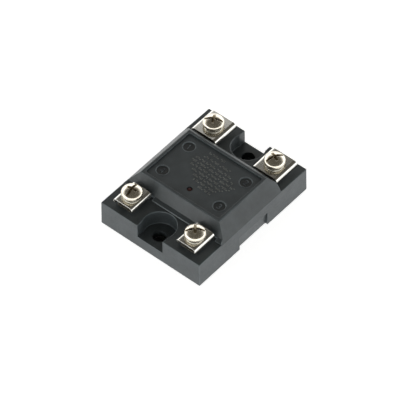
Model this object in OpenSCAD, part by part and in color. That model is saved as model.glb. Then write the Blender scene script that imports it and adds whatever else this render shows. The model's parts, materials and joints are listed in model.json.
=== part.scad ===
// Panel-mount solid state relay: a flat moulded body on a metal base plate, with four screw terminals.
// Millimetres. Origin: centre of the heat-sink face. +Z up.
// +X end: load terminals 1 (+Y) and 2 (-Y). -X end: control terminals 3 (-Y) and 4 (+Y).

/* [Body] */
// Length of the moulded housing at its foot
body_l = 58; // [57.5:0.5:60]
// Width of the moulded housing at its foot
body_w = 45; // [44.5:0.5:46]
// Height of the terminal decks above the heat-sink face
deck_z = 10.7; // [10.5:0.1:11]
// Height of the raised centre block above the heat-sink face
block_z = 16.3; // [16:0.1:17]
// Length of the block's flat top
block_top_l = 25.8; // [25:0.2:26.4]
// Width of the block's flat top
block_top_w = 35.6; // [34:0.2:36]
// Thickness of the housing's side walls
wall = 1.9; // [1.7:0.1:2]
// Depth of the panel sunk into the block's top
panel_depth = 0.6; // [0.3:0.1:0.8]

/* [Mounting] */
// Distance between the two mounting holes
mount_pitch = 47.6; // [47.2:0.1:48]
// Diameter of the mounting holes
mount_d = 5; // [4.5:0.1:5.1]
// Diameter of the screw-head clearance around each mounting hole
notch_d = 12.4; // [12:0.1:12.8]
// Width of the slot that opens each screw-head clearance to the end wall
notch_slot_w = 11.4; // [10:0.1:11.6]
// Height of the notch floors above the heat-sink face
notch_z = 4.9; // [4.2:0.1:5.5]
// Thickness of the metal base plate
plate_t = 2; // [1.6:0.1:2]

/* [Terminals] */
// Distance between the load terminals' screw axes and the centre plane
load_y = 13.9; // [13.7:0.1:14.2]
// Distance between the control terminals' screw axes and the centre plane
control_y = 14.3; // [13.8:0.1:14.6]
// Distance from the body's centre to every terminal's screw axis, along the body
term_x = 21.5; // [21.4:0.1:21.8]
// Length of a load clamp, measured along the body
load_clamp_l = 11.2; // [10.6:0.1:11.4]
// Width of a load clamp over its side flanges
load_clamp_w = 11.4; // [10.6:0.1:11.6]
// Length of a control clamp, measured along the body
control_clamp_l = 10.2; // [9.6:0.1:10.4]
// Width of a control clamp over its side flanges
control_clamp_w = 8.8; // [8.4:0.1:9.2]
// Overall height of a clamp, down to the tips of its side flanges
clamp_h = 2.4; // [2.2:0.1:2.6]
// Sheet thickness of the clamps
clamp_t = 0.8; // [0.6:0.1:0.9]
// Gap between a clamp's flanges and the deck as supplied, with the screws part opened
clamp_gap = 0.8; // [0.8:0.1:1.2]
// Thread diameter of the terminal screws
screw_d = 4; // [3.8:0.1:4]
// Length of the terminal screws under the head
screw_l = 10; // [9.6:0.1:10]
// Diameter of the screw heads
head_d = 7.8; // [7.2:0.1:8]
// Height of the screw heads
head_h = 2.6; // [2.4:0.1:2.8]
// Thickness of the spring washers
washer_t = 1.2; // [0.9:0.1:1.2]
// Direction of each screw's slot, terminals 1 to 4, in degrees
slot_angles = [-62, -24, -50, 8]; // [-90:1:90]

/* [Hidden] */
$fn = 48;
CLEAR = 0.05;      // gap around every piece that drops into a pocket
BIG = 30;          // longer than anything it cuts through
OVER = 1;          // how far a cutter runs past the face it opens

half_l = body_l / 2;
half_w = body_w / 2;
draft = 0.15;      // how far the walls lean in between foot and deck
foot_z = 0.2;      // the plastic stops just short of the heat sink, so the metal makes contact

// Centre block, seen from the side: one long slope to a ledge at -X, a short slope and a wall at +X
top_x = block_top_l / 2;
top_y = block_top_w / 2;
slope_run = 2.6;
ledge_w = 1.6;
ledge_h = 0.9;
ledge_fall = 0.6;  // from the slope's foot out to the ledge's edge
shoulder_run = 2.4;
shoulder_h = 2.9;
slope_foot_x = top_x + slope_run;
ledge_x = slope_foot_x + ledge_w;
ledge_z = deck_z + ledge_h;
shoulder_x = top_x + shoulder_run;
shoulder_z = deck_z + shoulder_h;
panel_rim = 1.1;
panel_r = 0.8;
panel_z = block_z - panel_depth;

// Hollow under the block: its roof, and the heights where its sides turn in under the slopes
cav_x = shoulder_x - wall;
cav_y = half_w - wall;
roof_t = 1.3;
cav_z = panel_z - roof_t;
roof_x = top_x - 1.3;
roof_y = top_y - 0.8;
eave_control_z = deck_z + 0.2;
eave_load_z = shoulder_z - 1.2;
eave_side_z = deck_z - 0.5;

// Base plate in its recess
plate_inset = 1.5;
plate_x = half_l - plate_inset;
plate_y = cav_y - CLEAR;
plate_r = 1;

// Relief on both long walls, leaning in towards the foot
relief_l = 15;
relief_depth = 1.1;
relief_top_depth = 0.6;
relief_z = 6.2;

// Moulded pads that carry the terminal numbers
number_x = 7.1;
number_y = 12.9;
number_d = 4.2;
number_depth = 0.25;

// Terminal hardware, from the deck down
bar_t = 1.2;
bar_top = deck_z + 0.15;
bar_z = bar_top - bar_t;
nut_w = 7;
nut_t = 3.2;
nut_z = bar_z - nut_t;
tip_z = 3.6;       // bottom of the hole that clears the screw's tip
tip_d = 4.8;
shank_r = screw_d / 2 - 0.05;
nut_bore_r = screw_d / 2;
free_hole_r = screw_d / 2 + 0.25;
clamp_room = 0.5;  // cut from the ledge around each clamp
load_pad = [9.4, 9];
control_pad = [8.4, 6.4];
load_tongue_w = 6;
control_tongue_w = 4;

// Terminal hardware, from the deck up
clamp_z = deck_z + clamp_gap;
clamp_top = clamp_z + clamp_h;
bend_r = 1;
min_inner_r = 0.15;
head_z = clamp_top + washer_t;
dome_h = 1.1;
washer_d = 6.7;
washer_bore_r = screw_d / 2 + 0.1;
washer_gap = 0.6;
washer_slant = 25;
washer_turn = 75;  // from the screw's slot round to the washer's gap
slot_w = 1;
slot_depth = 1.3;
cross_w = 1.1;
cross_l = 4.4;
cross_depth = 1.9;

// Power stage on the base plate
substrate_t = 0.7;
substrate_l = 20;
substrate_w = 24;
substrate_x = 1;
die_w = 6.5;
die_t = 0.5;
die_x = -1;
die_y = 6;
die_z = plate_t + substrate_t;
lead_z = die_z + die_t;
lead_t = 1.2;
lead_half_w = 2;
crossbar_w = 5;
leg_inset = 1.5;
leg_x = cav_x - leg_inset;
potting_z = 5.6;

// Control board above it
board_z = 6.6;
board_t = 1.6;
board_top = board_z + board_t;
board_x0 = -cav_x + 0.6;
board_x1 = leg_x - 0.4;
board_y = cav_y - 1;
pin_r = 0.35;
pin_x = -6.5;
pin_ys = [-8, -4, 4, 8];
pin_proud = 0.6;
led_x = -7.7;
led_size = [1.6, 3.2, 1.1];
pipe_r = 1;
pipe_flange_r = 1.7;
pipe_flange_t = 1.5;
pipe_gap = 0.1;    // between the lamp and the light pipe
pipe_sink = 0.2;   // from the panel down to the light pipe's end

// Where the parts stand on the board
opto_at = [3, 0];
capacitor_at = [6.5, -10.5];
snubber_at = [6.5, 11];
diode_at = [-8.5, 12];
resistor_at = [-8.5, -11];
transistor_at = [-3.5, -12];

TERMINALS = [
    [term_x, load_y, true],
    [term_x, -load_y, true],
    [-term_x, -control_y, false],
    [-term_x, control_y, false],
];

// ---------- helpers ----------

// Box between two opposite corners, grown by g on every side
module box(lo, hi, g = 0) {
    translate([for (i = [0:2]) lo[i] - g]) cube([for (i = [0:2]) hi[i] - lo[i] + 2 * g]);
}

// Profile in Y and Z, run along X
module along_x(length) {
    rotate([90, 0, 90]) linear_extrude(length, center = true) children();
}

// Profile in X and Z, run along Y
module along_y(length) {
    rotate([90, 0, 0]) linear_extrude(length, center = true) children();
}

module rounded_rect(l, w, r) {
    square([l - 2 * r, w], center = true);
    square([l, w - 2 * r], center = true);
    for (x = [-1, 1], y = [-1, 1]) translate([x * (l / 2 - r), y * (w / 2 - r)]) circle(r);
}

// Children built for the +Y side, moved to the side given
module on_side(side) {
    mirror([0, side < 0 ? 1 : 0, 0]) children();
}

module at_terminal(n) {
    translate([TERMINALS[n - 1][0], TERMINALS[n - 1][1], 0]) children();
}

function is_load(n) = TERMINALS[n - 1][2];
function clamp_size(n) = is_load(n) ? [load_clamp_l, load_clamp_w] : [control_clamp_l, control_clamp_w];

// ---------- housing ----------

module body_envelope() {
    intersection() {
        along_y(body_w + OVER) polygon([
            [-half_l, foot_z], [-half_l + draft, deck_z],
            [-ledge_x, deck_z], [-ledge_x, ledge_z - ledge_fall], [-slope_foot_x, ledge_z],
            [-top_x, block_z], [top_x, block_z],
            [shoulder_x, shoulder_z], [shoulder_x, deck_z],
            [half_l - draft, deck_z], [half_l, foot_z],
        ]);
        along_x(body_l + OVER) polygon([
            [-half_w, foot_z], [-half_w + draft, deck_z], [-top_y, block_z],
            [top_y, block_z], [half_w - draft, deck_z], [half_w, foot_z],
        ]);
    }
}

module cavity() {
    intersection() {
        along_y(body_w) polygon([
            [-cav_x, plate_t], [-cav_x, eave_control_z], [-roof_x, cav_z],
            [roof_x, cav_z], [cav_x, eave_load_z], [cav_x, plate_t],
        ]);
        along_x(body_l) polygon([
            [-cav_y, plate_t], [-cav_y, eave_side_z], [-roof_y, cav_z],
            [roof_y, cav_z], [cav_y, eave_side_z], [cav_y, plate_t],
        ]);
    }
}

// Screw-head clearance, open to the end wall and to the sky
module mounting_notch() {
    slot_start = sqrt(pow(notch_d / 2, 2) - pow(notch_slot_w / 2, 2));
    translate([mount_pitch / 2, 0, notch_z]) {
        cylinder(d = notch_d, h = BIG);
        translate([slot_start, -notch_slot_w / 2, 0]) cube([BIG, notch_slot_w, BIG]);
    }
}

module wall_relief() {
    along_x(relief_l) polygon([
        [half_w - relief_depth, 0], [half_w + OVER, 0],
        [half_w + OVER, relief_z], [half_w - relief_top_depth, relief_z],
    ]);
}

// Everything that a terminal needs cut out of the deck
module terminal_pocket(n) {
    at_terminal(n) {
        room = clamp_size(n) + 2 * [clamp_room, clamp_room];
        translate([-room[0] / 2, -room[1] / 2, deck_z]) cube([room[0], room[1], ledge_h + OVER]);
        translate([-nut_w / 2 - CLEAR, -nut_w / 2 - CLEAR, nut_z])
            cube([nut_w + 2 * CLEAR, nut_w + 2 * CLEAR, nut_t + bar_t]);
        translate([0, 0, tip_z]) cylinder(d = tip_d, h = nut_t + nut_z - tip_z);
    }
    terminal_strip(n, CLEAR);
}

module housing() {
    color([0.17, 0.18, 0.19]) difference() {
        body_envelope();
        translate([0, 0, panel_z])
            linear_extrude(BIG)
                rounded_rect(block_top_l - 2 * panel_rim, block_top_w - 2 * panel_rim, panel_r);
        for (x = [-1, 1], y = [-1, 1])
            translate([x * number_x, y * number_y, panel_z - number_depth]) cylinder(d = number_d, h = BIG);
        cavity();
        linear_extrude(plate_t) rounded_rect(2 * plate_x + 2 * CLEAR, 2 * plate_y + 2 * CLEAR, plate_r);
        translate([led_x, 0, cav_z - OVER]) cylinder(r = pipe_r + CLEAR, h = BIG);
        for (end = [0, 1]) mirror([end, 0, 0]) {
            mounting_notch();
            translate([mount_pitch / 2, 0, 0]) cylinder(d = mount_d, h = BIG);
        }
        for (side = [-1, 1]) on_side(side) wall_relief();
        for (n = [1:4]) terminal_pocket(n);
    }
}

// ---------- power stage ----------

module base_plate() {
    color([0.72, 0.73, 0.74]) difference() {
        linear_extrude(plate_t) rounded_rect(2 * plate_x, 2 * plate_y, plate_r);
        for (x = [-1, 1]) translate([x * mount_pitch / 2, 0, -OVER]) cylinder(d = mount_d, h = BIG);
    }
}

module substrate_block(g = 0) {
    box([substrate_x - substrate_l / 2, -substrate_w / 2, plate_t],
        [substrate_x + substrate_l / 2, substrate_w / 2, die_z], g);
}

module ceramic_substrate() {
    color([0.93, 0.93, 0.9]) substrate_block();
}

module die_block(side, g = 0) {
    on_side(side) box([die_x - die_w / 2, die_y - die_w / 2, die_z],
                      [die_x + die_w / 2, die_y + die_w / 2, lead_z], g);
}

module thyristor(side) {
    color([0.35, 0.36, 0.4]) die_block(side);
}

module gate_pin_set(r) {
    for (y = pin_ys) translate([pin_x, y, die_z]) cylinder(r = r, h = board_top + pin_proud - die_z);
}

module gate_pins() {
    color([0.85, 0.84, 0.8]) gate_pin_set(pin_r);
}

// Soft compound poured over the power stage
module potting() {
    color([0.25, 0.24, 0.22]) difference() {
        box([-cav_x + CLEAR, -cav_y + CLEAR, plate_t], [cav_x - CLEAR, cav_y - CLEAR, potting_z]);
        substrate_block(CLEAR);
        for (side = [-1, 1]) die_block(side, CLEAR);
        for (n = [1, 2]) terminal_strip(n, CLEAR);
        gate_pin_set(pin_r + CLEAR);
    }
}

// ---------- control board ----------

module circuit_board() {
    color([0.1, 0.35, 0.2]) difference() {
        box([board_x0, -board_y, board_z], [board_x1, board_y, board_top]);
        for (y = pin_ys) translate([pin_x, y, 0]) cylinder(r = pin_r + CLEAR, h = BIG);
    }
}

module on_board(at) {
    translate([at[0], at[1], board_top]) children();
}

// Block standing on the board
module chip_part(size) {
    translate([0, 0, size[2] / 2]) cube(size, center = true);
}

// Six-pin package: body, and a row of bent legs on each side
module optocoupler() {
    body = [6.4, 8.8, 3.4];
    standoff = 0.5;
    leg_w = 0.9;
    leg_t = 0.3;
    leg_out = 0.8;
    shoulder = 2;
    row_pitch = 2.54;
    color([0.9, 0.9, 0.87]) on_board(opto_at) {
        translate([-body[0] / 2, -body[1] / 2, standoff]) cube(body);
        for (side = [0, 1], row = [-1, 0, 1]) mirror([side, 0, 0])
            translate([body[0] / 2, row * row_pitch - leg_w / 2, 0]) {
                translate([0, 0, shoulder]) cube([leg_out, leg_w, leg_t]);
                translate([leg_out - leg_t, 0, 0]) cube([leg_t, leg_w, shoulder + leg_t]);
            }
    }
}

module snubber_capacitor() {
    size = [4.4, 10, 4.4];
    color([0.75, 0.35, 0.12]) on_board(capacitor_at) chip_part(size);
}

// Axial part lying on the board, its wires bent down to it
module axial_part(body_r, body_l, wire_r, span) {
    translate([0, 0, body_r]) {
        rotate([90, 0, 0]) cylinder(r = body_r, h = body_l, center = true);
        rotate([90, 0, 0]) cylinder(r = wire_r, h = span, center = true);
    }
    for (y = [-1, 1]) translate([0, y * span / 2, 0]) {
        cylinder(r = wire_r, h = body_r);
        translate([0, 0, body_r]) sphere(wire_r);
    }
}

module snubber_resistor() {
    color([0.3, 0.55, 0.65]) on_board(snubber_at)
        axial_part(body_r = 1.3, body_l = 6.5, wire_r = 0.3, span = 9.4);
}

module input_diode() {
    color([0.15, 0.15, 0.16]) on_board(diode_at)
        axial_part(body_r = 1.2, body_l = 4.6, wire_r = 0.35, span = 7.4);
}

module input_resistor() {
    color([0.12, 0.12, 0.13]) on_board(resistor_at) chip_part([3.2, 1.6, 0.6]);
}

module input_transistor() {
    body = [4.5, 2.5, 1.5];
    leg = [0.45, 1.8, 0.4];
    leg_pitch = 1.5;
    leg_tucked = 0.45;
    standoff = 0.1;
    color([0.14, 0.14, 0.15]) on_board(transistor_at) {
        translate([0, 0, standoff]) chip_part(body);
        for (x = [-1, 0, 1]) translate([x * leg_pitch, leg_tucked - (body[1] + leg[1]) / 2, 0]) chip_part(leg);
    }
}

module status_led() {
    color([0.75, 0.12, 0.08]) on_board([led_x, 0]) chip_part(led_size);
}

module light_pipe() {
    start = board_top + led_size[2] + pipe_gap;
    flange_z = cav_z - pipe_flange_t;
    color([0.45, 0.06, 0.05]) translate([led_x, 0, 0]) {
        translate([0, 0, start]) cylinder(r = pipe_r, h = panel_z - pipe_sink - start);
        translate([0, 0, flange_z]) cylinder(r = pipe_flange_r, h = pipe_flange_t);
    }
}

// ---------- terminal bars and nuts ----------

// Pad under the clamp and the tongue that runs in under the block
module terminal_pad(n, g) {
    pad = is_load(n) ? load_pad : control_pad;
    tongue_w = is_load(n) ? load_tongue_w : control_tongue_w;
    x = TERMINALS[n - 1][0];
    y = TERMINALS[n - 1][1];
    inner = sign(x) * leg_x;
    box([x - pad[0] / 2, y - pad[1] / 2, bar_z], [x + pad[0] / 2, y + pad[1] / 2, bar_top], g);
    box([min(x, inner), y - tongue_w / 2, bar_z], [max(x, inner), y + tongue_w / 2, bar_top], g);
}

// Leg of a load bar: down to the power stage and across to its die
module load_leg(side, g) {
    on_side(side) {
        box([leg_x, load_y - load_tongue_w / 2, lead_z],
            [leg_x + bar_t, load_y + load_tongue_w / 2, bar_top], g);
        box([leg_x + bar_t - crossbar_w, die_y - lead_half_w, lead_z],
            [leg_x + bar_t, load_y + load_tongue_w / 2, lead_z + lead_t], g);
        box([die_x - lead_half_w, die_y - lead_half_w, lead_z],
            [leg_x + bar_t, die_y + lead_half_w, lead_z + lead_t], g);
    }
}

// Leg of a control bar: down to the control board's top
module control_leg(side, g) {
    on_side(side) box([-leg_x - bar_t, control_y - control_tongue_w / 2, board_top],
                      [-leg_x, control_y + control_tongue_w / 2, bar_top], g);
}

module terminal_strip(n, g = 0) {
    side = sign(TERMINALS[n - 1][1]);
    terminal_pad(n, g);
    if (is_load(n)) load_leg(side, g);
    else control_leg(side, g);
}

module terminal_bar(n) {
    color([0.8, 0.79, 0.75]) difference() {
        terminal_strip(n);
        at_terminal(n) cylinder(r = free_hole_r, h = BIG);
    }
}

module terminal_nuts() {
    color([0.78, 0.77, 0.73]) for (n = [1:4]) at_terminal(n) difference() {
        translate([-nut_w / 2, -nut_w / 2, nut_z]) cube([nut_w, nut_w, nut_t]);
        cylinder(r = nut_bore_r, h = BIG);
    }
}

// ---------- clamps, washers and screws ----------

// Outline of the bent sheet, or of the hollow under it
module saddle_outline(w, h, r) {
    translate([-w / 2, 0]) square([w, h - r]);
    translate([-w / 2 + r, 0]) square([w - 2 * r, h]);
    for (s = [-1, 1]) translate([s * (w / 2 - r), h - r]) circle(r);
}

module clamp(n) {
    size = clamp_size(n);
    inner_r = max(bend_r - clamp_t, min_inner_r);
    color([0.82, 0.81, 0.77]) at_terminal(n) translate([0, 0, clamp_z]) difference() {
        along_x(size[0]) difference() {
            saddle_outline(size[1], clamp_h, bend_r);
            translate([0, -OVER]) saddle_outline(size[1] - 2 * clamp_t, clamp_h - clamp_t + OVER, inner_r);
        }
        cylinder(r = free_hole_r, h = BIG);
    }
}

module lock_washer(n) {
    color([0.72, 0.7, 0.66]) at_terminal(n) translate([0, 0, clamp_top])
        rotate([0, 0, slot_angles[n - 1] + washer_turn]) difference() {
            cylinder(d = washer_d, h = washer_t);
            translate([0, 0, -OVER]) cylinder(r = washer_bore_r, h = BIG);
            translate([washer_d / 2, 0, washer_t / 2]) rotate([washer_slant, 0, 0])
                cube([washer_d, washer_gap, 3 * washer_t], center = true);
        }
}

// Pan head with a straight slot across a cross recess
module screw(n) {
    dome_r = (pow(head_d / 2, 2) + pow(dome_h, 2)) / (2 * dome_h);
    color([0.83, 0.81, 0.76]) at_terminal(n) translate([0, 0, head_z]) rotate([0, 0, slot_angles[n - 1]]) {
        difference() {
            intersection() {
                cylinder(d = head_d, h = head_h);
                translate([0, 0, head_h - dome_r]) sphere(dome_r, $fn = 96);
            }
            translate([-head_d, -slot_w / 2, head_h - slot_depth]) cube([2 * head_d, slot_w, BIG]);
            for (a = [0, 90]) rotate([0, 0, a])
                translate([-cross_l / 2, -cross_w / 2, head_h - cross_depth]) cube([cross_l, cross_w, BIG]);
        }
        translate([0, 0, -screw_l]) cylinder(r = shank_r, h = screw_l);
    }
}

housing();
base_plate();
ceramic_substrate();
thyristor(1);  // thyristor_1
thyristor(-1);  // thyristor_2
potting();
circuit_board();
gate_pins();
optocoupler();
snubber_capacitor();
snubber_resistor();
input_resistor();
input_diode();
input_transistor();
status_led();
light_pipe();
terminal_bar(1);  // load_bar_1
terminal_bar(2);  // load_bar_2
terminal_bar(3);  // control_bar_3
terminal_bar(4);  // control_bar_4
terminal_nuts();
clamp(1);  // clamp_1
clamp(2);  // clamp_2
clamp(3);  // clamp_3
clamp(4);  // clamp_4
lock_washer(1);  // lock_washer_1
lock_washer(2);  // lock_washer_2
lock_washer(3);  // lock_washer_3
lock_washer(4);  // lock_washer_4
screw(1);  // screw_1
screw(2);  // screw_2
screw(3);  // screw_3
screw(4);  // screw_4
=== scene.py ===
"""Looks of a panel-mount solid state relay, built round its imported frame."""

import json
import math

import bmesh
import bpy
from mathutils import Matrix, Vector


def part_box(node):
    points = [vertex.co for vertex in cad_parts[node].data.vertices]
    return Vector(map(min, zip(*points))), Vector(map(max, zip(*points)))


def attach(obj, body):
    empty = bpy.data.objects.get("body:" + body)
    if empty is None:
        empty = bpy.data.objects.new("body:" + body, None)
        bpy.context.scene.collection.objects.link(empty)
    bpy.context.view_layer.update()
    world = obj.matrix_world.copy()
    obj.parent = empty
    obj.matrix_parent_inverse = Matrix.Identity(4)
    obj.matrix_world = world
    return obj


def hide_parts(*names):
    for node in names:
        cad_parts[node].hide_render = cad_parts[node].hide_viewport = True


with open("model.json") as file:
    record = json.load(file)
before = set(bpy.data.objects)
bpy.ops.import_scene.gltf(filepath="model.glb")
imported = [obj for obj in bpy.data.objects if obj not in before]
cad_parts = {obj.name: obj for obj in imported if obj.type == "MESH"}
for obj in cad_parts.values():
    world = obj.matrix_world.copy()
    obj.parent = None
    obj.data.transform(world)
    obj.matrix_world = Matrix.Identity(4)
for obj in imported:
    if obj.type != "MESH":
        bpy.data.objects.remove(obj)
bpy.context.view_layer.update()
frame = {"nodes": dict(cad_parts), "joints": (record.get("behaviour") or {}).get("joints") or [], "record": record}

MM = 0.001
TERMINALS = (1, 2, 3, 4)


def mm_box(node):
    """Lowest and highest corner of a CAD node, in millimetres."""
    lo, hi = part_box(node)
    return lo / MM, hi / MM


def terminal_axis(n):
    """Axis of a terminal's screw, from its joint, in millimetres."""
    joint = next(j for j in frame["joints"] if j["name"] == f"screw_{n}_turn")
    return Vector(joint["pos_m"]) / MM


# ---------- sizes, in millimetres ----------

HOUSING_HI = mm_box("housing")[1]
PIPE_LO, PIPE_HI = mm_box("light_pipe")
SCREW_LO, SCREW_HI = mm_box("screw_1")
WASHER_TOP = mm_box("lock_washer_1")[1].z

# How far the load bars stand above the deck, the light pipe ends below the panel and the numbers are sunk
BAR_RISE, PIPE_SINK, NUMBER_DEPTH = 0.15, 0.2, 0.25
DECK_Z = mm_box("load_bar_1")[1].z - BAR_RISE
PANEL_Z = PIPE_HI.z + PIPE_SINK
NUMBER_PAD_Z = PANEL_Z - NUMBER_DEPTH
PAD_X, PAD_Y = 7.1, 12.9
PAD_AT = {1: (PAD_X, PAD_Y), 2: (PAD_X, -PAD_Y), 3: (-PAD_X, -PAD_Y), 4: (-PAD_X, PAD_Y)}
SLOT_ANGLE = {1: -62, 2: -24, 3: -50, 4: 8}

# Distances from the body's centre, along and across
WALL_X, WALL_Y = 28.5, 22
CAVITY_X, CAVITY_Y = 14.5, 21.2
BLOCK_TOP_X, BLOCK_TOP_Y = 12.4, 17.3
SLOPE_X = 20
NOTCH_Y = 7

# Mounting hole axes, and the round head clearances about them
MOUNT_X = 23.8
NOTCH_R, NOTCH_Z = 6.2, 4.9

SHANK_R = 1.95
THREAD_PITCH, THREAD_DEPTH = 0.7, 0.36
# Heights above the head's underside: the thread's upper end, and a level below the recess
THREAD_TOP = -0.5
HEAD_FLOOR_Z = 0.5
# Radius of a head's rounded shoulder, and where it meets the crown, in degrees above level
SHOULDER_R, SHOULDER_TURN = 1.45, 50
# Faces above this many square millimetres shade as planes
FLAT_AREA = 12


# ---------- mesh helpers, working in millimetres ----------


def cad_copy(node):
    """The CAD node's surface in millimetres, welded, with its flat faces whole."""
    bm = bmesh.new()
    bm.from_mesh(frame["nodes"][node].data)
    bmesh.ops.scale(bm, vec=(1 / MM,) * 3, verts=bm.verts)
    bmesh.ops.remove_doubles(bm, verts=bm.verts, dist=0.001)
    bmesh.ops.dissolve_limit(bm, angle_limit=math.radians(1), verts=bm.verts, edges=bm.edges)
    bmesh.ops.recalc_face_normals(bm, faces=bm.faces)
    return bm


def link(name, data):
    """Puts mesh, curve, light or camera data into the scene."""
    obj = bpy.data.objects.new(name, data)
    bpy.context.scene.collection.objects.link(obj)
    return obj


def write_back(obj, bm):
    bm.to_mesh(obj.data)
    bm.free()


def new_object(name, bm):
    obj = link(name, bpy.data.meshes.new(name))
    write_back(obj, bm)
    return obj


def mesh_of(obj):
    """An object's mesh, opened for editing."""
    bm = bmesh.new()
    bm.from_mesh(obj.data)
    return bm


def set_materials(obj, names):
    """The first name is the piece's main material."""
    obj.data.materials.clear()
    for name in names:
        obj.data.materials.append(MATERIALS[name])


def apply_modifiers(obj):
    depsgraph = bpy.context.evaluated_depsgraph_get()
    made = bpy.data.meshes.new_from_object(obj.evaluated_get(depsgraph))
    made.name = obj.name
    obj.modifiers.clear()
    old, obj.data = obj.data, made
    bpy.data.meshes.remove(old)


def weigh_edges(bm, rule, sharp=28):
    """Sets each sharp outward edge's bevel weight to rule(middle, direction)."""
    layer = bm.edges.layers.float.new("bevel_weight_edge")
    for e in bm.edges:
        if len(e.link_faces) == 2 and e.is_convex and e.calc_face_angle() > math.radians(sharp):
            a, b = e.verts[0].co, e.verts[1].co
            e[layer] = rule((a + b) / 2, (b - a).normalized())


def round_edges(obj, width, segments=3, edge_slot=0):
    """Bevels the weighted edges; a weight of 1 gives the full width."""
    m = obj.modifiers.new("round", "BEVEL")
    m.width = width
    m.segments = segments
    m.limit_method = "WEIGHT"
    m.use_clamp_overlap = False
    m.miter_outer = "MITER_ARC"
    m.material = edge_slot
    apply_modifiers(obj)


def flatten_large_faces(mesh):
    """Gives each corner of a large face that face's own normal, so that it shades as a plane."""
    normals = [corner.vector.copy() for corner in mesh.corner_normals]
    for p in mesh.polygons:
        if p.area > FLAT_AREA:
            for i in p.loop_indices:
                normals[i] = p.normal.copy()
    mesh.normals_split_custom_set(normals)


def shade(obj, angle=35):
    """Smooth shading that keeps flat faces flat."""
    obj.data.shade_smooth()
    obj.data.set_sharp_from_angle(angle=math.radians(angle))
    m = obj.modifiers.new("normals", "WEIGHTED_NORMAL")
    m.keep_sharp = True
    m.weight = 100
    apply_modifiers(obj)
    flatten_large_faces(obj.data)


def cut(obj, cutters):
    for cutter in cutters:
        m = obj.modifiers.new("cut", "BOOLEAN")
        m.object = cutter
        m.operation = "DIFFERENCE"
        m.solver = "EXACT"
        apply_modifiers(obj)
        bpy.data.objects.remove(cutter)


def prism(name, outline, lo, hi):
    """Solid with that outline in X and Z, run along Y from lo to hi."""
    bm = bmesh.new()
    near = [bm.verts.new((x, lo, z)) for x, z in outline]
    far = [bm.verts.new((x, hi, z)) for x, z in outline]
    bm.faces.new(near)
    bm.faces.new(far)
    for i in range(len(outline)):
        bm.faces.new((near[i - 1], near[i], far[i], far[i - 1]))
    bmesh.ops.recalc_face_normals(bm, faces=bm.faces)
    return new_object(name, bm)


def lathe(profile, steps, radius_at=None):
    """Closed solid of revolution through (radius, z) points that begin and end on the axis."""
    bm = bmesh.new()
    bottom = bm.verts.new((0, 0, profile[0][1]))
    top = bm.verts.new((0, 0, profile[-1][1]))
    rings = []
    for r, z in profile[1:-1]:
        ring = []
        for k in range(steps):
            a = 2 * math.pi * k / steps
            rad = radius_at(r, z, a) if radius_at else r
            ring.append(bm.verts.new((rad * math.cos(a), rad * math.sin(a), z)))
        rings.append(ring)
    for low, high in zip(rings, rings[1:]):
        for k in range(steps):
            bm.faces.new((low[k - 1], low[k], high[k], high[k - 1]))
    for k in range(steps):
        bm.faces.new((bottom, rings[0][k], rings[0][k - 1]))
        bm.faces.new((top, rings[-1][k - 1], rings[-1][k]))
    bmesh.ops.recalc_face_normals(bm, faces=bm.faces)
    return bm


def arc(cx, cy, r, start, end, steps):
    """Points along an arc, its angles in degrees."""
    turn = [math.radians(start + (end - start) * k / steps) for k in range(steps + 1)]
    return [(cx + r * math.cos(a), cy + r * math.sin(a)) for a in turn]


def settle(obj, body, slot, *nodes):
    """Scales a piece to metres and hands it to the frame, in place of those CAD nodes."""
    obj.data.transform(Matrix.Scale(MM, 4))
    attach(obj, body)
    if nodes:
        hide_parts(*nodes)


# ---------- node materials ----------


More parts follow.
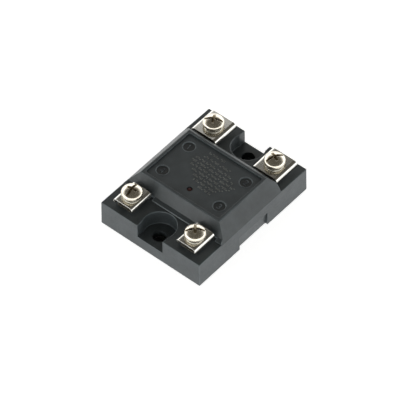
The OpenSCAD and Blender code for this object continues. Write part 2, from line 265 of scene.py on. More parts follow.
class Finish:
    """A Principled material whose textures follow the piece, in metres."""

    def __init__(self, name, **inputs):
        self.material = bpy.data.materials.new(name)
        self.material.use_nodes = True
        self.tree = self.material.node_tree
        self.bsdf = self.tree.nodes["Principled BSDF"]
        for key, value in inputs.items():
            self.bsdf.inputs[key.replace("_", " ")].default_value = value
        self.place = self.node("ShaderNodeTexCoord").outputs["Object"]

    def node(self, kind, **settings):
        made = self.tree.nodes.new(kind)
        for key, value in settings.items():
            setattr(made, key, value)
        return made

    def join(self, out, into):
        self.tree.links.new(out, into)

    def noise(self, size, detail=4, stretch=(1, 1, 1), rough=0.55):
        """Noise with features of about that size in millimetres, longer where stretch is above 1."""
        mapping = self.node("ShaderNodeMapping")
        mapping.inputs["Scale"].default_value = [1 / (size * MM * s) for s in stretch]
        self.join(self.place, mapping.inputs["Vector"])
        made = self.node("ShaderNodeTexNoise")
        made.inputs["Scale"].default_value = 1
        made.inputs["Detail"].default_value = detail
        made.inputs["Roughness"].default_value = rough
        self.join(mapping.outputs["Vector"], made.inputs["Vector"])
        return made.outputs["Fac"]

    def along(self, axis):
        """One coordinate, in metres."""
        split = self.node("ShaderNodeSeparateXYZ")
        self.join(self.place, split.inputs[0])
        return split.outputs[axis]

    def spread(self, value, low, high, start=0.3, stop=0.7):
        """Maps start..stop onto low..high."""
        made = self.node("ShaderNodeMapRange")
        for key, v in (("From Min", start), ("From Max", stop), ("To Min", low), ("To Max", high)):
            made.inputs[key].default_value = v
        self.join(value, made.inputs["Value"])
        return made.outputs["Result"]

    def sum_of(self, a, b):
        made = self.node("ShaderNodeMath", operation="ADD")
        self.join(a, made.inputs[0])
        self.join(b, made.inputs[1])
        return made.outputs[0]

    def colour(self, value, low, high, start=0.3, stop=0.7):
        """Base colour between two tones, by value."""
        made = self.node("ShaderNodeMix", data_type="RGBA")
        made.inputs["A"].default_value = (*low, 1)
        made.inputs["B"].default_value = (*high, 1)
        self.join(self.spread(value, 0, 1, start, stop), made.inputs["Factor"])
        self.join(made.outputs["Result"], self.bsdf.inputs["Base Color"])
        return made.outputs["Result"]

    def over(self, below, value, tone, start, stop):
        """Lays a tone over the base colour where value is high."""
        made = self.node("ShaderNodeMix", data_type="RGBA")
        made.inputs["B"].default_value = (*tone, 1)
        self.join(below, made.inputs["A"])
        self.join(self.spread(value, 0, 1, start, stop), made.inputs["Factor"])
        self.join(made.outputs["Result"], self.bsdf.inputs["Base Color"])
        return made.outputs["Result"]

    def roughness(self, value, low, high):
        self.join(self.spread(value, low, high), self.bsdf.inputs["Roughness"])

    def bump(self, height, depth, strength=1.0):
        """Bump of that depth in millimetres."""
        made = self.node("ShaderNodeBump")
        made.inputs["Strength"].default_value = strength
        made.inputs["Distance"].default_value = depth * MM
        self.join(height, made.inputs["Height"])
        self.join(made.outputs["Normal"], self.bsdf.inputs["Normal"])


def moulded_black(name, tone, lift):
    """Satin black thermoplastic: fine grain, faint flow mottling and paler rubbed spots."""
    f = Finish(name, IOR=1.5)
    mottle = f.noise(5, detail=6)
    low = [c * 0.8 for c in tone]
    high = [c * 1.2 for c in tone]
    base = f.colour(mottle, low, high)
    rubbed = f.noise(1.6, detail=8, stretch=(3, 1, 1), rough=0.7)
    f.over(base, rubbed, [c * lift for c in tone], 0.62, 0.8)
    f.roughness(f.noise(0.9, detail=5), 0.36, 0.48)
    f.bump(f.sum_of(f.noise(0.22, detail=3), f.noise(0.09, detail=1)), 0.016, 0.8)
    return f.material


def plated(name, tone, rough, brush, depth=0.004):
    """Nickel plate with the fine lines of rolled or turned stock under it."""
    f = Finish(name, Metallic=1.0)
    tint = f.noise(2.4, detail=5)
    base = f.colour(tint, [c * 0.93 for c in tone], [min(1, c * 1.04) for c in tone])
    stain = f.noise(1.1, detail=8, rough=0.75)
    f.over(base, stain, [c * 0.72 for c in tone], 0.66, 0.82)
    lines = f.noise(0.08, detail=3, stretch=brush)
    f.roughness(f.noise(0.6, detail=5), rough * 0.8, rough * 1.25)
    f.bump(lines, depth, 0.35)
    return f.material


def machined_aluminium():
    f = Finish("base_metal", Metallic=1.0)
    lines = f.noise(0.12, detail=4, stretch=(60, 1, 1))
    f.colour(f.noise(6, detail=5), (0.62, 0.63, 0.64), (0.74, 0.75, 0.76))
    f.roughness(lines, 0.3, 0.46)
    f.bump(lines, 0.006, 0.5)
    return f.material


def light_pipe_red():
    f = Finish("light_pipe_red", IOR=1.49)
    f.colour(f.noise(0.8, detail=3), (0.045, 0.006, 0.005), (0.085, 0.009, 0.007))
    f.roughness(f.noise(0.3), 0.3, 0.42)
    return f.material


def glazed(name, low, high, grain, rough):
    """Fired, cast or dipped surfaces: two close tones, fine grain and a soft gloss."""
    f = Finish(name, IOR=1.5)
    f.colour(f.noise(grain * 6, detail=5), low, high)
    f.roughness(f.noise(grain * 2), rough * 0.8, rough * 1.2)
    f.bump(f.noise(grain), 0.01, 0.4)
    return f.material


def board_laminate():
    """Green solder mask over a glass weave."""
    f = Finish("board_laminate", IOR=1.55, Coat_Weight=0.3, Coat_Roughness=0.2)
    wave = f.node("ShaderNodeTexWave", wave_type="BANDS", bands_direction="DIAGONAL")
    wave.inputs["Scale"].default_value = 1 / (1.2 * MM)
    wave.inputs["Distortion"].default_value = 1.5
    f.join(f.place, wave.inputs["Vector"])
    f.colour(f.noise(4), (0.012, 0.11, 0.045), (0.02, 0.16, 0.065))
    f.roughness(f.noise(0.5), 0.3, 0.42)
    f.bump(wave.outputs["Fac"], 0.02, 0.4)
    return f.material


def banded_resistor():
    """Lacquered body with colour-code rings along its length."""
    f = Finish("resistor_body", IOR=1.5, Coat_Weight=0.4, Coat_Roughness=0.15)
    lo, hi = mm_box("snubber_resistor")
    middle = (lo.y + hi.y) / 2
    below = f.colour(f.noise(1), (0.16, 0.33, 0.4), (0.2, 0.4, 0.48))
    rings = (
        (-2.1, (0.35, 0.03, 0.02)),
        (-0.9, (0.02, 0.02, 0.02)),
        (0.3, (0.4, 0.16, 0.02)),
        (2.0, (0.45, 0.33, 0.08)),
    )
    for offset, tone in rings:
        at = f.node("ShaderNodeMath", operation="COMPARE")
        at.inputs[1].default_value = (middle + offset) * MM
        at.inputs[2].default_value = 0.3 * MM
        f.join(f.along("Y"), at.inputs[0])
        below = f.over(below, at.outputs[0], tone, 0.4, 0.6)
    f.roughness(f.noise(0.4), 0.25, 0.35)
    return f.material


def make_materials():
    tone = (0.042, 0.051, 0.055)
    nickel = (0.71, 0.7, 0.66)
    return {
        "black_plastic": moulded_black("black_plastic", tone, 1.35),
        # Painted highlight: the rounded edges and the number rings and digits take a lighter tone of the same
        # black plastic.
        "black_plastic_painted_highlight": moulded_black("black_plastic_painted_highlight", [c * 2 for c in tone], 1.5),
        # Painted highlight: the raised dashes are a lighter tone of the same black plastic.
        "raised_marks_painted_highlight": moulded_black("raised_marks_painted_highlight", (0.145, 0.155, 0.15), 1.3),
        # Painted shade: the floors of the sunk number discs are darkened.
        "number_field_painted_shade": moulded_black("number_field_painted_shade", [c * 0.3 for c in tone], 1.3),
        "clamp_metal": plated("clamp_metal", nickel, 0.165, (40, 1, 1), 0.0015),
        "washer_metal": plated("washer_metal", (0.8, 0.78, 0.72), 0.28, (1, 1, 6), 0.0004),
        "screw_metal": plated("screw_metal", (0.77, 0.715, 0.61), 0.24, (1, 1, 4), 0.0005),
        # Painted shade: a darker, browner tone for the screw heads' slot and cross recess.
        "recess_metal_painted_shade": plated("recess_metal_painted_shade", (0.5, 0.44, 0.33), 0.45, (1, 1, 4), 0.0008),
        # Painted shade: the bars get a dark tone that stands in for the shade in the gap under the clamps.
        "bar_metal": plated("bar_metal", (0.16, 0.15, 0.13), 0.55, (1, 30, 1)),
        "tinned_copper": plated("tinned_copper", (0.72, 0.71, 0.68), 0.35, (1, 1, 8)),
        "base_metal": machined_aluminium(),
        "light_pipe_red": light_pipe_red(),
        "ceramic": glazed("ceramic", (0.8, 0.8, 0.76), (0.9, 0.9, 0.87), 0.1, 0.35),
        "silicon": glazed("silicon", (0.05, 0.05, 0.07), (0.09, 0.09, 0.13), 0.6, 0.12),
        "potting_compound": glazed("potting_compound", (0.03, 0.027, 0.024), (0.05, 0.045, 0.04), 0.5, 0.3),
        "board_laminate": board_laminate(),
        "package_plastic": glazed("package_plastic", (0.66, 0.66, 0.6), (0.76, 0.76, 0.7), 0.15, 0.5),
        "capacitor_case": glazed("capacitor_case", (0.42, 0.12, 0.02), (0.55, 0.18, 0.035), 0.4, 0.22),
        "resistor_body": banded_resistor(),
        "component_black": glazed("component_black", (0.018, 0.018, 0.018), (0.032, 0.031, 0.03), 0.12, 0.5),
        "led_red": glazed("led_red", (0.35, 0.02, 0.015), (0.5, 0.035, 0.02), 0.3, 0.1),
    }


MATERIALS = make_materials()


# ---------- housing ----------


def housing_rule(middle, _):
    """How far each outside edge of the moulding is rounded, as a share of the full width."""
    x, y, z = abs(middle.x), abs(middle.y), middle.z
    on_wall = x > WALL_X or y > WALL_Y
    below_deck = z < DECK_Z - 0.5
    at_pipe = (middle - (PIPE_LO + PIPE_HI) / 2).xy.length < 1.5
    in_cavity = x < CAVITY_X and y < CAVITY_Y and z < PANEL_Z - 0.3
    if at_pipe or in_cavity or (below_deck and not on_wall):
        return 0.0
    if z < 1:
        return 0.2
    if on_wall and below_deck:
        return 0.55 if x > WALL_X and y > WALL_Y else 0.35
    if on_wall:
        return 0.0 if y > WALL_Y and x < SLOPE_X else 0.6
    if z > HOUSING_HI.z - 0.1:
        return 0.7 if x > BLOCK_TOP_X or y > BLOCK_TOP_Y else 0.3
    if z > DECK_Z + 0.4:
        return 0.9
    return 0.7 if x > CAVITY_X and y < NOTCH_Y else 0.35


def soften_notch_floors(bm):
    """Small radius where each notch's round wall meets its floor."""
    share, off_wall, off_floor = 0.6, 0.15, 0.05
    layer = bm.edges.layers.float["bevel_weight_edge"]
    for e in bm.edges:
        middle = (e.verts[0].co + e.verts[1].co) / 2
        from_axis = (Vector((abs(middle.x), middle.y)) - Vector((MOUNT_X, 0))).length
        at_wall = abs(from_axis - NOTCH_R) < off_wall and abs(middle.z - NOTCH_Z) < off_floor
        if at_wall and len(e.link_faces) == 2 and e.calc_face_angle() > math.radians(60):
            e[layer] = share


def build_housing():
    edge_r, closeness = 0.4, 0.02
    bm = cad_copy("housing")
    weigh_edges(bm, housing_rule)
    soften_notch_floors(bm)
    obj = new_object("housing_shell", bm)
    # The rounded edges take the lighter tone, a painted highlight.
    set_materials(obj, ["black_plastic", "black_plastic_painted_highlight", "number_field_painted_shade"])
    round_edges(obj, edge_r, edge_slot=1)
    # Painted shade: the floors of the sunk number discs take the darkened tone.
    for p in obj.data.polygons:
        if abs(p.center.z - NUMBER_PAD_Z) < closeness and p.normal.z > 0.9:
            p.material_index = 2
    shade(obj)
    settle(obj, "relay_body", "black_plastic", "housing")


# ---------- marks on the panel ----------

DIGITS = {
    1: [[(-0.42, 0.62), (0.05, 1.1), (0.05, -1.1)]],
    2: [arc(0, 0.48, 0.62, 165, -38, 8) + [(-0.62, -1.1), (0.68, -1.1)]],
    3: [arc(-0.02, 0.53, 0.55, 150, -90, 8) + arc(0, -0.52, 0.6, 90, -150, 9)[1:]],
    4: [[(0.32, -1.1), (0.32, 1.1), (-0.68, -0.42), (0.72, -0.42)]],
}


def tube(strokes, radius, place):
    """Round-ended raised strokes: each is a run of (right, up) points set by place()."""
    curve = bpy.data.curves.new("stroke", "CURVE")
    curve.dimensions = "3D"
    curve.bevel_depth = radius
    curve.bevel_resolution = 2
    curve.use_fill_caps = True
    for stroke in strokes:
        spline = curve.splines.new("POLY")
        spline.points.add(len(stroke) - 1)
        for point, (u, v) in zip(spline.points, stroke):
            point.co = (*place(u, v), 1)
    holder = link("stroke", curve)
    bpy.context.view_layer.update()
    mesh = bpy.data.meshes.new_from_object(holder)
    bpy.data.objects.remove(holder)
    return mesh


def add_ring(bm, cx, cy, ring_r, tube_r):
    """Raised ring lying on the panel."""
    around, across, squash = 56, 10, 0.8
    rows = []
    for k in range(around):
        a = 2 * math.pi * k / around
        row = []
        for j in range(across):
            b = 2 * math.pi * j / across
            r = ring_r + tube_r * math.cos(b)
            z = PANEL_Z + tube_r * squash * math.sin(b)
            row.append(bm.verts.new((cx + r * math.cos(a), cy + r * math.sin(a), z)))
        rows.append(row)
    for k in range(around):
        for j in range(across):
            bm.faces.new((rows[k - 1][j - 1], rows[k][j - 1], rows[k][j], rows[k - 1][j]))


def build_number(n):
    """Raised digit in its sunk disc, with a raised ring round it. Its top points to +X."""
    cx, cy = PAD_AT[n]
    size, stroke_r, ring_r, lift = 0.95, 0.13, 2.4, 0.03

    def place(u, v):
        return cx + size * v, cy - size * u, NUMBER_PAD_Z + lift

    obj = link(f"terminal_number_{n}", tube(DIGITS[n], stroke_r, place))
    bm = mesh_of(obj)
    add_ring(bm, cx, cy, ring_r, stroke_r)
    bmesh.ops.recalc_face_normals(bm, faces=bm.faces)
    write_back(obj, bm)
    # The digit and its ring take the lighter tone, a painted highlight.
    set_materials(obj, ["black_plastic_painted_highlight"])
    shade(obj, 50)
    settle(obj, "relay_body", "black_plastic")


# Rows of plain raised dashes where a maker's lettering would be: X, then the Y where each starts and ends
MARK_ROWS = (
    (9.5, 5.5, -2),
    (7.2, 6, -6),
    (5.2, 8, -8.5),
    (3.5, 8.5, -10),
    (1.8, 7.5, -12.5),
    (0.1, 5.5, -12),
    (-1.6, 3.5, -10),
    (-3.3, 2, -9),
    (-5, -1.5, -7.5),
)
# Length, height and shift up the row of each kind of dash
MARK_KINDS = ((0.3, 1.05, 0), (0.6, 0.5, 0.26), (0.3, 1.05, 0), (0.45, 0.85, -0.1), (0.75, 0.5, -0.26))
MARK_RISE = 0.16
MARK_GAP, WORD_GAP, WORD_DASHES = 0.14, 0.6, 7
# Least room that a row needs for one more dash, and the step through the kinds
MARK_ROOM, KIND_STEP = 0.4, 7


def dash(bm, x, y, length, height):
    """One raised dash: length along Y, height along X, with sloping sides."""
    slope, sunk = 0.1, 0.1
    for v in bmesh.ops.create_cube(bm, size=1)["verts"]:
        top = v.co.z > 0
        shrink = slope if top else 0
        v.co.x = x + math.copysign(height / 2 - shrink, v.co.x)
        v.co.y = y + math.copysign(length / 2 - shrink, v.co.y)
        v.co.z = PANEL_Z + (MARK_RISE if top else -sunk)


def build_panel_marks():
    bm = bmesh.new()
    count = 0
    for x, start, end in MARK_ROWS:
        y = start
        while y - MARK_ROOM > end:
            count += 1
            length, height, shift = MARK_KINDS[count * KIND_STEP % len(MARK_KINDS)]
            dash(bm, x + shift, y - length / 2, length, height)
            y -= length + (MARK_GAP if count % WORD_DASHES else WORD_GAP)
    bmesh.ops.recalc_face_normals(bm, faces=bm.faces)
    obj = new_object("panel_marks", bm)
    # The dashes take the lighter tone, a painted highlight.
    set_materials(obj, ["raised_marks_painted_highlight"])
    shade(obj, 30)
    settle(obj, "relay_body", "black_plastic")


# ---------- clamps, washers, screws ----------


def saddle_outline(half_w, low, high, bend):
    """Outline in Y and Z over a bent sheet, from one foot to the other."""
    right = arc(half_w - bend, high - bend, bend, 0, 90, 8)
    left = arc(bend - half_w, high - bend, bend, 90, 180, 8)
    return [(half_w, low), *right, *left, (-half_w, low)]


def bent_sheet(lo, hi, thick, bend):
    """Sheet bent down along both sides, run along X."""
    half_w, mid_y = (hi.y - lo.y) / 2, (hi.y + lo.y) / 2
    outer = saddle_outline(half_w, lo.z, hi.z, bend)
    inner = saddle_outline(half_w - thick, lo.z, hi.z - thick, bend - thick)
    bm = bmesh.new()
    near = [[bm.verts.new((lo.x, mid_y + y, z)) for y, z in line] for line in (outer, inner)]
    far = [[bm.verts.new((hi.x, mid_y + y, z)) for y, z in line] for line in (outer, inner)]
    last = len(outer) - 1
    for i in range(last):
        for side in (0, 1):
            bm.faces.new((near[side][i], near[side][i + 1], far[side][i + 1], far[side][i]))
        for end in (near, far):
            bm.faces.new((end[0][i], end[0][i + 1], end[1][i + 1], end[1][i]))
    for i in (0, last):
        bm.faces.new((near[0][i], near[1][i], far[1][i], far[0][i]))
    bmesh.ops.recalc_face_normals(bm, faces=bm.faces)
    return bm


def clamp_rule(lo, hi, axis, hole_r):
    """Rounds the flanges' corners fully and breaks the other edges, apart from the hole's."""
    margin, closeness, broken = 0.1, 0.05, 0.16

    def rule(middle, direction):
        if (middle - axis).xy.length < hole_r + margin:
            return 0.0
        at_end = min(middle.x - lo.x, hi.x - middle.x) < closeness
        at_foot = middle.z - lo.z < closeness
        return 1.0 if at_end and at_foot and abs(direction.y) > 0.9 else broken

    return rule


def build_clamp(n):
    """Saddle clamp: easy bends, rounded flange corners, broken edges and a clear hole."""
    node = f"clamp_{n}"
    lo, hi = mm_box(node)
    axis = terminal_axis(n)
    thick, bend, hole_r, corner_r = 0.8, 1.5, 2.25, 0.9
    obj = new_object(f"saddle_clamp_{n}", bent_sheet(lo, hi, thick, bend))
    drill = new_object("drill", lathe([(0, 0), (hole_r, 0), (hole_r, hi.z + 5), (0, hi.z + 5)], 32))
    drill.data.transform(Matrix.Translation(axis.xy.to_3d()))
    cut(obj, [drill])
    bm = mesh_of(obj)
    weigh_edges(bm, clamp_rule(lo, hi, axis, hole_r))
    write_back(obj, bm)
    set_materials(obj, ["clamp_metal"])
    round_edges(obj, corner_r, 4)
    shade(obj)
    settle(obj, node, "clamp_metal", node)


def washer_section(half_w, half_t, soft):
    """Rounded outline as (outward, up) points about its middle."""
    section = []
    for sx, sz, start in ((1, -1, -90), (1, 1, 0), (-1, 1, 90), (-1, -1, 180)):
        section += arc(sx * (half_w - soft), sz * (half_t - soft), soft, start, start + 90, 3)
    return section


def washer_ring(bm, n, section, mid_r, mid_z, t):
    """The section placed the share t of the way round from the slanting gap's first side."""
    gap, gap_from_slot, slant = 11, 75, 0.16
    axis = terminal_axis(n)
    turn = math.radians(SLOT_ANGLE[n] + gap_from_slot + gap / 2 + (360 - gap) * t)
    ring = []
    for u, w in section:
        a = turn + slant * w
        r = mid_r + u
        ring.append(bm.verts.new((axis.x + r * math.cos(a), axis.y + r * math.sin(a), mid_z + w)))
    return ring


def build_washer(n):
    """Spring lock washer: a ring with rounded edges, cut on the slant and slightly sprung."""
    node = f"lock_washer_{n}"
    lo, hi = mm_box(node)
    outer, inner, spring, soft, steps = (hi.x - lo.x) / 2, 2.15, 0.16, 0.42, 72
    thick = hi.z - lo.z - spring
    section = washer_section((outer - inner) / 2, thick / 2, soft)
    bm = bmesh.new()
    rings = []
    for k in range(steps + 1):
        t = k / steps
        mid_z = lo.z + thick / 2 + spring * t
        rings.append(washer_ring(bm, n, section, (outer + inner) / 2, mid_z, t))
    for a, b in zip(rings, rings[1:]):
        for j in range(len(section)):
            bm.faces.new((a[j - 1], a[j], b[j], b[j - 1]))
    bm.faces.new(rings[0])
    bm.faces.new(rings[-1])
    bmesh.ops.recalc_face_normals(bm, faces=bm.faces)
    obj = new_object(f"spring_washer_{n}", bm)
    set_materials(obj, ["washer_metal"])
    shade(obj, 50)
    settle(obj, f"screw_{n}", "washer_metal", node)


def thread_radius(r, z, a):
    """Radius of the threaded shank: a V thread with flat crests, right-handed."""
    if z > THREAD_TOP:
        return r
    steepness, root = 2.4, 0.1
    phase = (z / THREAD_PITCH - a / (2 * math.pi)) % 1
    ridge = min(1, max(0, steepness * min(phase, 1 - phase) - root))
    fade = min(1, (THREAD_TOP - z) / THREAD_PITCH)
    return r - THREAD_DEPTH * (1 - ridge) * fade


def crown(head_r, head_h):
    """Radius and centre height of the head's spherical top, which meets its rounded shoulder smoothly."""
    radius = (head_r - SHOULDER_R) / math.cos(math.radians(SHOULDER_TURN)) + SHOULDER_R
    return radius, head_h - radius


def shank_profile(tip_z):
    """Radius and height from the tip up to the head's underside."""
    rows_per_turn, thread_from = 8, tip_z + 0.6
    rows = int((THREAD_TOP - (tip_z + 0.7)) / THREAD_PITCH * rows_per_turn)
    points = [(0, tip_z), (SHANK_R - 0.7, tip_z), (SHANK_R - 0.3, tip_z + 0.35)]
    points += [(SHANK_R, thread_from + k * THREAD_PITCH / rows_per_turn) for k in range(rows)]
    points += [(SHANK_R, -0.4), (SHANK_R, -0.12), (SHANK_R + 0.12, 0)]
    return points


def head_profile(head_r, head_h):
    """Radius and height from the head's lower edge to the crown's top."""
    foot_z, foot_step = 0.06, 0.08
    crown_r, crown_z = crown(head_r, head_h)
    shoulder_z = crown_z + (crown_r - SHOULDER_R) * math.sin(math.radians(SHOULDER_TURN))
    start = math.degrees(math.asin((foot_z - shoulder_z) / SHOULDER_R))
    shoulder = arc(head_r - SHOULDER_R, shoulder_z, SHOULDER_R, start, SHOULDER_TURN, 9)
    top = arc(0, crown_z, crown_r, SHOULDER_TURN, 87, 13)
    return [(shoulder[0][0] - foot_step, 0), *shoulder, *top[1:], (0, head_h)]


def cross_cutters(head_h):
    """Straight slot right across the head, and a tapered cross recess at its middle."""
    top_z = head_h + 1
    reach, slot_half, slot_z = 5, 0.42, head_h - 1.2
    outline = [(-reach, slot_z), (reach, slot_z), (reach, top_z), (-reach, top_z)]
    slot = prism("slot", outline, -slot_half, slot_half)
    wing_half, wing_top, wing_foot, wing_z = 0.45, 2.9, 0.9, head_h - 1.9
    wing = [(-wing_foot, wing_z), (wing_foot, wing_z), (wing_top, top_z), (-wing_top, top_z)]
    apart = 0.01
    along = prism("cross_a", wing, -wing_half, wing_half)
    across = prism("cross_b", wing, -wing_half - apart, wing_half + apart)
    across.data.transform(Matrix.Rotation(math.pi / 2, 4, "Z"))
    return [slot, along, across]


def paint_recess_shade(obj, head_r, head_h):
    """Gives the faces sunk well below the crown the second material, a darker tone that is painted shade in the
    recess.
    """
    crown_r, crown_z = crown(head_r, head_h)
    rim, sunk = 0.3, 0.15
    for p in obj.data.polygons:
        r = p.center.xy.length
        depth = crown_z + math.sqrt(crown_r ** 2 - r ** 2) - p.center.z
        if p.center.z > HEAD_FLOOR_Z and r < head_r - rim and depth > sunk:
            p.material_index = 1


def build_screw_master():
    """One screw along Z, its head's underside at 0."""
    head_r, head_h = (SCREW_HI.x - SCREW_LO.x) / 2, SCREW_HI.z - WASHER_TOP
    edge_r, edge_reach = 0.08, head_r - 0.9
    profile = shank_profile(SCREW_LO.z - WASHER_TOP) + head_profile(head_r, head_h)
    obj = new_object("screw_master", lathe(profile, 48, thread_radius))
    cut(obj, cross_cutters(head_h))
    bm = mesh_of(obj)
    bmesh.ops.remove_doubles(bm, verts=bm.verts, dist=0.01)
    weigh_edges(bm, lambda m, _: float(m.z > HEAD_FLOOR_Z and m.xy.length < edge_reach), 42)
    write_back(obj, bm)
    set_materials(obj, ["screw_metal", "recess_metal_painted_shade"])
    round_edges(obj, edge_r, 2)
    # Painted shade: the slot and cross recess take the darker second material.
    paint_recess_shade(obj, head_r, head_h)
    return obj


def build_screw(n, master):
    obj = link(f"terminal_screw_{n}", master.data.copy())
    place = Matrix.Translation((*terminal_axis(n).xy, WASHER_TOP))
    obj.data.transform(place @ Matrix.Rotation(math.radians(SLOT_ANGLE[n]), 4, "Z"))
    shade(obj, 38)
    settle(obj, f"screw_{n}", "screw_metal", f"screw_{n}")


# ---------- light pipe and the remaining CAD pieces ----------


def build_light_pipe():
    """Tinted rod with a domed end and the flange that holds it under the roof."""
    flange_r, rod_r, dome = (PIPE_HI.x - PIPE_LO.x) / 2, 1.0, 0.35
    roof, flange, soft = 1.3, 1.5, 0.1
    roof_z = PANEL_Z - roof
    low_z = roof_z - flange
    profile = [(0, PIPE_LO.z), (rod_r - soft, PIPE_LO.z), (rod_r, PIPE_LO.z + soft), (rod_r, low_z)]
    profile += [(flange_r - soft, low_z), (flange_r, low_z + soft)]
    profile += [(flange_r, roof_z - soft), (flange_r - soft, roof_z), (rod_r, roof_z)]
    for turn in (0, 0.4, 0.8, 1.2):
        profile.append((rod_r * math.cos(turn), PIPE_HI.z - dome + dome * math.sin(turn)))
    profile.append((0, PIPE_HI.z))
    obj = new_object("light_pipe_rod", lathe(profile, 32))
    obj.data.transform(Matrix.Translation(((PIPE_HI + PIPE_LO) / 2).xy.to_3d()))
    set_materials(obj, ["light_pipe_red"])
    shade(obj, 50)
    settle(obj, "relay_body", "light_pipe_red", "light_pipe")


# Node, name of the finished piece, edge rounding in millimetres
DRESSED = (
    ("base_plate", "metal_base", 0.18),
    ("ceramic_substrate", "ceramic_tile", 0.06),
    ("thyristor_1", "thyristor_die_1", 0.05),
    ("thyristor_2", "thyristor_die_2", 0.05),
    ("potting", "potting_block", 0.1),
    ("circuit_board", "control_board", 0.08),
    ("gate_pins", "gate_pin_row", 0.08),
    ("optocoupler", "optocoupler_body", 0.06),
    ("snubber_capacitor", "snubber_capacitor_body", 0.5),
    ("snubber_resistor", "snubber_resistor_body", 0.15),
    ("input_resistor", "input_resistor_chip", 0.06),
    ("input_diode", "input_diode_body", 0.15),
    ("input_transistor", "input_transistor_body", 0.06),
    ("status_led", "status_led_body", 0.15),
    ("load_bar_1", "load_terminal_1", 0.12),
    ("load_bar_2", "load_terminal_2", 0.12),
    ("control_bar_3", "control_terminal_3", 0.12),
    ("control_bar_4", "control_terminal_4", 0.12),
    ("terminal_nuts", "square_nuts", 0.2),
)


def dress(node, name, width):
    """A bevelled copy of a CAD piece, in the finish of its material slot."""
    slot = next(p["material_slot"] for p in frame["record"]["subparts"] if p["node"] == node)
    bm = cad_copy(node)
    weigh_edges(bm, lambda *_: 1.0)
    obj = new_object(name, bm)
    set_materials(obj, [slot])
    round_edges(obj, width, 2)
    shade(obj)
    settle(obj, "relay_body", slot, node)


# ---------- studio ----------

# How far inside the walls the floor's painted-shade area ends, and the radius of the opaque discs below the holes
FLOOR_INSET, HOLE_DISC_R = 2, 3.2


def compare(f, value, operation, limit):
    made = f.node("ShaderNodeMath", operation=operation)
    made.inputs[1].default_value = limit
    f.join(value, made.inputs[0])
    return made.outputs[0]


def product(f, values):
    """All of the values multiplied together."""
    total = values[0]
    for value in values[1:]:
        made = f.node("ShaderNodeMath", operation="MULTIPLY")
        f.join(total, made.inputs[0])
        f.join(value, made.inputs[1])
        total = made.outputs[0]
    return total


def under_object(f):
    """1 on the floor under the object, 0 elsewhere."""
    inside = []
    for axis, half in (("X", HOUSING_HI.x), ("Y", HOUSING_HI.y)):
        size = compare(f, f.along(axis), "ABSOLUTE", 0)
        inside.append(compare(f, size, "LESS_THAN", (half - FLOOR_INSET) * MM))
    return product(f, inside)


def away_from_holes(f):
    """1 on the floor, apart from a disc below each mounting hole."""
    clear = []
    for side in (-1, 1):
        reach = f.node("ShaderNodeVectorMath", operation="DISTANCE")
        f.join(f.place, reach.inputs[0])
        reach.inputs[1].default_value = (side * MOUNT_X * MM, 0, 0)
        clear.append(compare(f, reach.outputs["Value"], "GREATER_THAN", HOLE_DISC_R * MM))
    return product(f, clear)


def let_through(f, share):
    """Makes the surface see-through where share is 1."""
    blend = f.node("ShaderNodeMixShader")
    f.join(share, blend.inputs[0])
    f.join(f.bsdf.outputs[0], blend.inputs[1])
    f.join(f.node("ShaderNodeBsdfTransparent").outputs[0], blend.inputs[2])
    f.join(blend.outputs[0], f.tree.nodes["Material Output"].inputs["Surface"])


def floor_white():
    """White that gives off light, with painted shade under the object, where it is dark and unlit.

    It is see-through from below, and where the base plate stands, so that the underside can be seen.
    """
    f = Finish("floor_white", Emission_Color=(1, 1, 1, 1))
    under = under_object(f)
    f.join(f.spread(under, 0.75, 0, 0, 1), f.bsdf.inputs["Emission Strength"])
    base = f.colour(f.noise(900), (0.8, 0.8, 0.8), (0.84, 0.84, 0.84))
    # Painted shade: under the object the floor turns near-black, so the mounting holes look dark inside.
    f.over(base, under, (0.04, 0.04, 0.045), 0, 1)
    f.roughness(f.noise(400), 0.75, 0.85)
    share = f.node("ShaderNodeMath", operation="MAXIMUM")
    f.join(f.node("ShaderNodeNewGeometry").outputs["Backfacing"], share.inputs[0])
    f.join(product(f, [under, away_from_holes(f)]), share.inputs[1])
    let_through(f, share.outputs[0])
    return f.material


def floor():
    """Plain pale floor that lights the object's sides."""
    bm = bmesh.new()
    side, below = 6.0, -0.00003
    corners = [bm.verts.new((x * side, y * side, below)) for x, y in ((-1, -1), (1, -1), (1, 1), (-1, 1))]
    bm.faces.new(corners)
    obj = new_object("floor", bm)
    obj.data.materials.append(floor_white())


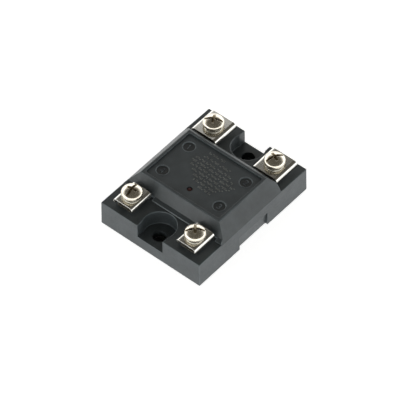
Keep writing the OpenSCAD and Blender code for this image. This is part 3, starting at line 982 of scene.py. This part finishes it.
def studio_world():
    """Bright surround up to a third of the way to the zenith, then a dim warm ceiling."""
    world = bpy.data.worlds.new("studio")
    bpy.context.scene.world = world
    world.use_nodes = True
    tree = world.node_tree
    split = tree.nodes.new("ShaderNodeSeparateXYZ")
    tree.links.new(tree.nodes.new("ShaderNodeTexCoord").outputs["Generated"], split.inputs[0])
    height = tree.nodes.new("ShaderNodeMapRange")
    height.inputs["From Min"].default_value = -1
    tree.links.new(split.outputs["Z"], height.inputs["Value"])
    ramp = tree.nodes.new("ShaderNodeValToRGB")
    ramp.color_ramp.interpolation = "EASE"
    grey_below, surround, ceiling = (0.2, 0.2, 0.2), (1, 1, 0.99), (0.048, 0.045, 0.038)
    stops = ((0.2, grey_below), (0.4, surround), (0.625, surround), (0.8, ceiling))
    elements = ramp.color_ramp.elements
    elements.new(0.3)
    elements.new(0.6)
    for element, (at, tone) in zip(elements, stops):
        element.position = at
        element.color = (*tone, 1)
    tree.links.new(height.outputs["Result"], ramp.inputs["Fac"])
    back = tree.nodes["Background"]
    back.inputs["Strength"].default_value = 2.1
    tree.links.new(ramp.outputs["Color"], back.inputs["Color"])


def softbox(name, place, aim, size, power, tint=(1, 1, 1)):
    light = bpy.data.lights.new(name, "AREA")
    light.shape = "RECTANGLE"
    light.size, light.size_y = size
    light.energy = power
    light.color = tint
    obj = link(name, light)
    obj.location = place
    obj.rotation_mode = "QUATERNION"
    obj.rotation_quaternion = (Vector(aim) - Vector(place)).to_track_quat("-Z", "Y")


def camera():
    """Long lens looking down at the control end's corner, slightly rolled."""
    azimuth, elevation, roll = (math.radians(v) for v in (-49.16, 48.99, -0.6))
    distance, lens = 1.2266, 315.8
    level = math.cos(elevation)
    back = Vector((math.sin(azimuth) * level, -math.cos(azimuth) * level, math.sin(elevation)))
    right = Vector((0, 0, 1)).cross(back).normalized()
    up = back.cross(right)
    turned = math.cos(roll) * right + math.sin(roll) * up
    cam = bpy.data.cameras.new("camera")
    cam.lens = lens
    cam.sensor_width = 36
    cam.shift_x, cam.shift_y = -0.011, 0.0145
    cam.clip_start, cam.clip_end = 0.01, 50
    obj = link("camera", cam)
    pose = Matrix((turned, back.cross(turned), back)).transposed().to_4x4()
    obj.matrix_world = Matrix.Translation(back * distance) @ pose
    bpy.context.scene.camera = obj


def studio():
    camera()
    floor()
    studio_world()
    softbox("back_softbox", (0.42, 0.377, 0.4), (0.42, 0.377, 0), (0.3, 0.3), 0.19)
    softbox("right_softbox", (0.4, -0.67, 0.19), (0, 0, 0.01), (0.5, 0.35), 0.06, (1, 0.97, 0.9))
    softbox("left_softbox", (-0.69, 0.34, 0.24), (0, 0, 0.01), (0.5, 0.35), 0.4)
    bpy.context.scene.view_settings.view_transform = "Standard"


# ---------- everything ----------

studio()
build_housing()
build_panel_marks()
build_light_pipe()
for node, name, width in DRESSED:
    dress(node, name, width)
screw_master = build_screw_master()
for n in TERMINALS:
    build_number(n)
    build_clamp(n)
    build_washer(n)
    build_screw(n, screw_master)
bpy.data.objects.remove(screw_master)
